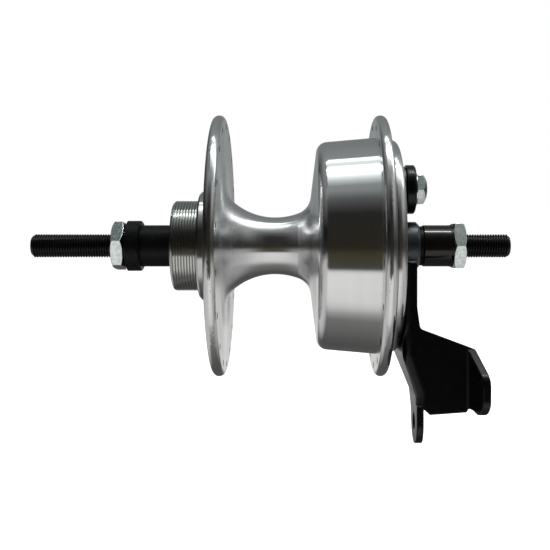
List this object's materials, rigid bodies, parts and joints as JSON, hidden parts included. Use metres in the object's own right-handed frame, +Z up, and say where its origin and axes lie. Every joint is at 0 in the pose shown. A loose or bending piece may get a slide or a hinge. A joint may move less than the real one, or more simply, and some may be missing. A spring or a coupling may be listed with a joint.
{
  "type": "drum brake hub",
  "caption": "Rear bicycle hub with an enclosed drum brake, threaded freewheel boss, polished flanged shell, cam lever and pressed reaction arm.",
  "frame": {"origin": "on the axle line, in the middle of the brake-side spoke flange", "axes": "+X along the axle towards the brake side, +Z up, the brake lever and frame stay lie at +Y and -Y"},
  "size_m": [0.1844, 0.11, 0.1222],
  "materials": {
    "axle_steel": "black oxide, rolled thread",
    "zinc_steel": "bright zinc plate",
    "black_steel": "satin black",
    "gloss_black_steel": "gloss black",
    "blued_steel": "blued, fine turned",
    "plain_steel": "turned steel",
    "bearing_steel": "ground and polished",
    "seal_steel": "pressed steel shield",
    "shell_alloy": "turned and polished alloy",
    "plate_alloy": "polished alloy",
    "boss_steel": "dark turned steel with a cut thread",
    "liner_iron": "machined",
    "black_paint": "gloss black paint",
    "cast_alloy": "as cast",
    "friction_block": "moulded friction material",
    "spring_steel": "oiled spring steel"
  },
  "bodies": {
    "axle_assembly": {"axle": "axle_steel", "locknut_left": "zinc_steel", "locknut_right": "zinc_steel", "collar_left": "black_steel", "spacer_left": "black_steel", "spacer_right": "gloss_black_steel", "lock_ring": "black_steel", "plate_nut": "blued_steel", "shoulder_spacer": "plain_steel", "inner_sleeve": "plain_steel", "bearing_inner_left": "bearing_steel", "bearing_inner_right": "bearing_steel", "brake_plate": "plate_alloy", "cam_bush": "blued_steel", "anchor_pin": "plain_steel", "reaction_arm": "black_paint", "spring_upper": "spring_steel", "spring_lower": "spring_steel"},
    "hub": {"hub_shell": "shell_alloy", "freewheel_sleeve": "boss_steel", "brake_liner": "liner_iron", "bearing_outer_left": "bearing_steel", "bearing_outer_right": "bearing_steel", "seals_left": "seal_steel", "seals_right": "seal_steel"},
    "ball_set_left": {"balls_left": "bearing_steel", "cage_left": "plain_steel"},
    "ball_set_right": {"balls_right": "bearing_steel", "cage_right": "plain_steel"},
    "cam": {"brake_cam": "plain_steel", "brake_lever": "black_paint", "lever_washer": "zinc_steel", "lever_nut": "zinc_steel"},
    "front_shoe": {"shoe_front": "cast_alloy", "lining_front": "friction_block"},
    "rear_shoe": {"shoe_rear": "cast_alloy", "lining_rear": "friction_block"}
  },
  "joints": [
    {"name": "hub_spin", "type": "hinge", "parent": "axle_assembly", "child": "hub", "pos_m": [0, 0, 0], "axis": [1, 0, 0], "continuous": true},
    {"name": "ball_set_left_roll", "type": "hinge", "parent": "axle_assembly", "child": "ball_set_left", "pos_m": [-0.0728, 0, 0], "axis": [1, 0, 0], "continuous": true},
    {"name": "ball_set_right_roll", "type": "hinge", "parent": "axle_assembly", "child": "ball_set_right", "pos_m": [-0.02126, 0, 0], "axis": [1, 0, 0], "continuous": true},
    {"name": "cam_turn", "type": "hinge", "parent": "axle_assembly", "child": "cam", "pos_m": [0.0104, 0, 0.0218], "axis": [-1, 0, 0], "range_deg": [0, 12], "stiffness_Nm_per_rad": 1, "springref_deg": -5.73, "deforming": ["spring_upper", "spring_lower"]},
    {"name": "front_shoe_swing", "type": "hinge", "parent": "axle_assembly", "child": "front_shoe", "pos_m": [-0.0081, 0, -0.024], "axis": [-1, 0, 0], "range_deg": [-1.18, 0]},
    {"name": "rear_shoe_swing", "type": "hinge", "parent": "axle_assembly", "child": "rear_shoe", "pos_m": [-0.0081, 0, -0.024], "axis": [-1, 0, 0], "range_deg": [0, 1.01]}
  ],
  "couplings": [
    {"joint": "ball_set_left_roll", "follows": "hub_spin", "ratio": 0.636},
    {"joint": "ball_set_right_roll", "follows": "hub_spin", "ratio": 0.636},
    {"joint": "front_shoe_swing", "follows": "cam_turn", "ratio": -0.0941},
    {"joint": "rear_shoe_swing", "follows": "cam_turn", "ratio": 0.0797}
  ]
}
